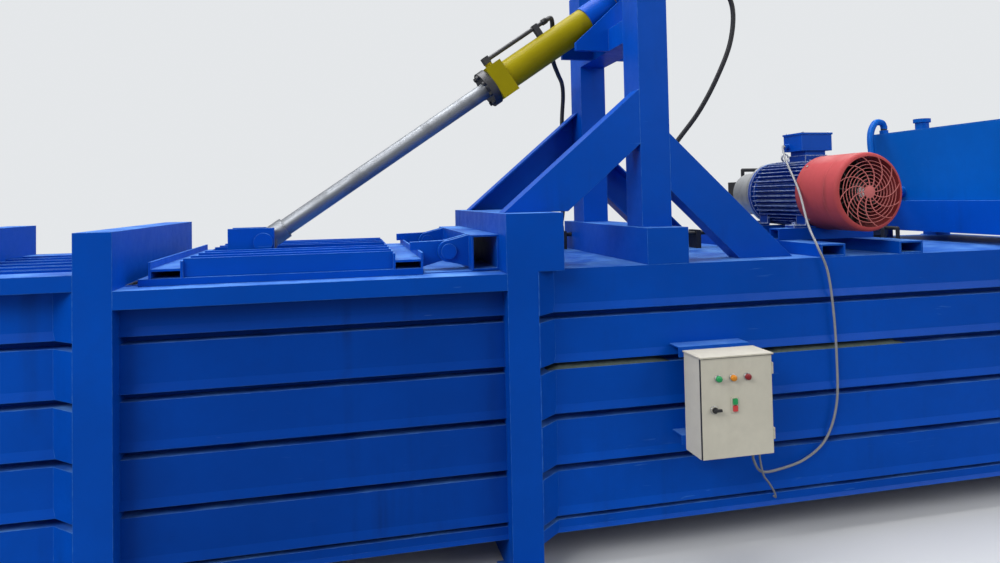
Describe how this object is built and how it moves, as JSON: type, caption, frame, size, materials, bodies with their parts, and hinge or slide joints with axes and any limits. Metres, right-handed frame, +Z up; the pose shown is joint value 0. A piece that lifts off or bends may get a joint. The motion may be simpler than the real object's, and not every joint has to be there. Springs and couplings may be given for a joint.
{
  "type": "horizontal recycling baler",
  "caption": "Horizontal baler: ribbed press chamber, ram, hinged pre-press lid driven by a cylinder on a braced mast, deck power unit with oil tank, wall control box.",
  "frame": {"origin": "on the floor, in the middle of the four anchor holes", "axes": "+X along the machine from the bale door to the power unit, +Y across it away from the control box, +Z up"},
  "size_m": [6.646, 1.612, 2.828],
  "materials": {
    "blue_paint": "semi-gloss",
    "tank_paint": "semi-gloss",
    "yellow_paint": "semi-gloss",
    "red_paint": "dull",
    "beige_paint": "satin",
    "bright_steel": "machined",
    "chrome_rod": "polished",
    "dark_steel": "oiled",
    "cast_alloy": "cast",
    "black_plastic": "matte",
    "green_plastic": "gloss",
    "red_plastic": "gloss",
    "black_rubber": "matte",
    "grey_cable": "matte"
  },
  "bodies": {
    "machine": {"base_frame": "blue_paint", "floor_plate": "blue_paint", "liners": "blue_paint", "ribs_left": "blue_paint", "ribs_middle": "blue_paint", "ribs_right": "blue_paint", "frame_door": "blue_paint", "frame_chamber": "blue_paint", "frame_feed": "blue_paint", "frame_hinge": "blue_paint", "frame_rear": "blue_paint", "side_rails": "blue_paint", "roof_channels": "blue_paint", "deck_plates": "blue_paint", "hinge_beam": "blue_paint", "hinge_pins": "bright_steel", "fixed_blade": "bright_steel", "mast_posts": "blue_paint", "mast_braces": "blue_paint", "mast_head": "blue_paint", "main_barrel": "yellow_paint", "main_gland": "dark_steel", "power_base": "blue_paint", "motor_housing": "blue_paint", "motor_cowl": "red_paint", "terminal_box": "blue_paint", "bell_housing": "cast_alloy", "pump": "dark_steel", "oil_tank": "tank_paint", "tank_cover": "tank_paint", "tank_stand": "blue_paint", "valve_set": "dark_steel", "box_shell": "beige_paint", "box_gear": "black_plastic", "hydraulic_hoses": "black_rubber", "lid_hoses": "black_rubber", "cables": "grey_cable"},
    "lid": {"lid_plate": "blue_paint", "lid_beams": "blue_paint"},
    "lid_cylinder": {"lid_barrel": "yellow_paint", "trunnion_block": "blue_paint", "lid_gland": "dark_steel"},
    "lid_ram_rod": {"lid_rod": "chrome_rod", "lid_piston": "dark_steel", "lug_pin": "bright_steel"},
    "ram": {"ram_body": "blue_paint", "ram_shoes": "dark_steel", "ram_blade": "bright_steel", "main_rod": "chrome_rod", "main_piston": "dark_steel", "ram_pin": "bright_steel"},
    "door": {"bale_door": "blue_paint"},
    "door_pin": {"lock_pin": "bright_steel"},
    "panel_door": {"box_door": "beige_paint", "panel_fittings": "black_plastic"},
    "selector": {"selector_knob": "black_plastic"},
    "start": {"start_button": "green_plastic"},
    "stop": {"stop_button": "red_plastic"},
    "motor": {"motor_rotor": "bright_steel", "motor_fan": "black_plastic"}
  },
  "joints": [
    {"name": "lid_hinge", "type": "hinge", "parent": "machine", "child": "lid", "pos_m": [-0.35, 0, 1.33], "axis": [0, 1, 0], "range_deg": [0, 65]},
    {"name": "lid_cyl_swing", "type": "hinge", "parent": "machine", "child": "lid_cylinder", "pos_m": [0.656, 0, 2.60236], "axis": [0, 1, 0], "range_deg": [0, 12.2], "deforming": ["lid_hoses"]},
    {"name": "lid_rod_slide", "type": "slide", "parent": "lid_cylinder", "child": "lid_ram_rod", "axis": [0.8271, 0, 0.5621], "range_m": [0, 0.778]},
    {"name": "ram_slide", "type": "slide", "parent": "machine", "child": "ram", "axis": [1, 0, 0], "range_m": [-1.7, 0]},
    {"name": "door_hinge", "type": "hinge", "parent": "machine", "child": "door", "pos_m": [-3.312, 0.69, 0.731], "axis": [0, 0, -1], "range_deg": [0, 110]},
    {"name": "door_pin_slide", "type": "slide", "parent": "machine", "child": "door_pin", "axis": [0, 0, 1], "range_m": [-0.09, 0]},
    {"name": "panel_hinge", "type": "hinge", "parent": "machine", "child": "panel_door", "pos_m": [0.9515, -0.811, 0.676], "axis": [0, 0, 1], "range_deg": [0, 110]},
    {"name": "selector_turn", "type": "hinge", "parent": "panel_door", "child": "selector", "pos_m": [0.676, -0.82, 0.673], "axis": [0, 1, 0], "range_deg": [-90, 0]},
    {"name": "start_press", "type": "slide", "parent": "panel_door", "child": "start", "axis": [0, 1, 0], "range_m": [0, 0.004], "stiffness_N_per_m": 600},
    {"name": "stop_press", "type": "slide", "parent": "panel_door", "child": "stop", "axis": [0, 1, 0], "range_m": [0, 0.004], "stiffness_N_per_m": 600},
    {"name": "motor_spin", "type": "hinge", "parent": "machine", "child": "motor", "pos_m": [1.654, 0, 1.55], "axis": [0, 1, 0], "continuous": true}
  ],
  "couplings": [
    {"joint": "lid_cyl_swing", "follows": "lid_hinge", "ratio": 0.18669},
    {"joint": "lid_rod_slide", "follows": "lid_hinge", "m_per_rad": 0.68515}
  ]
}
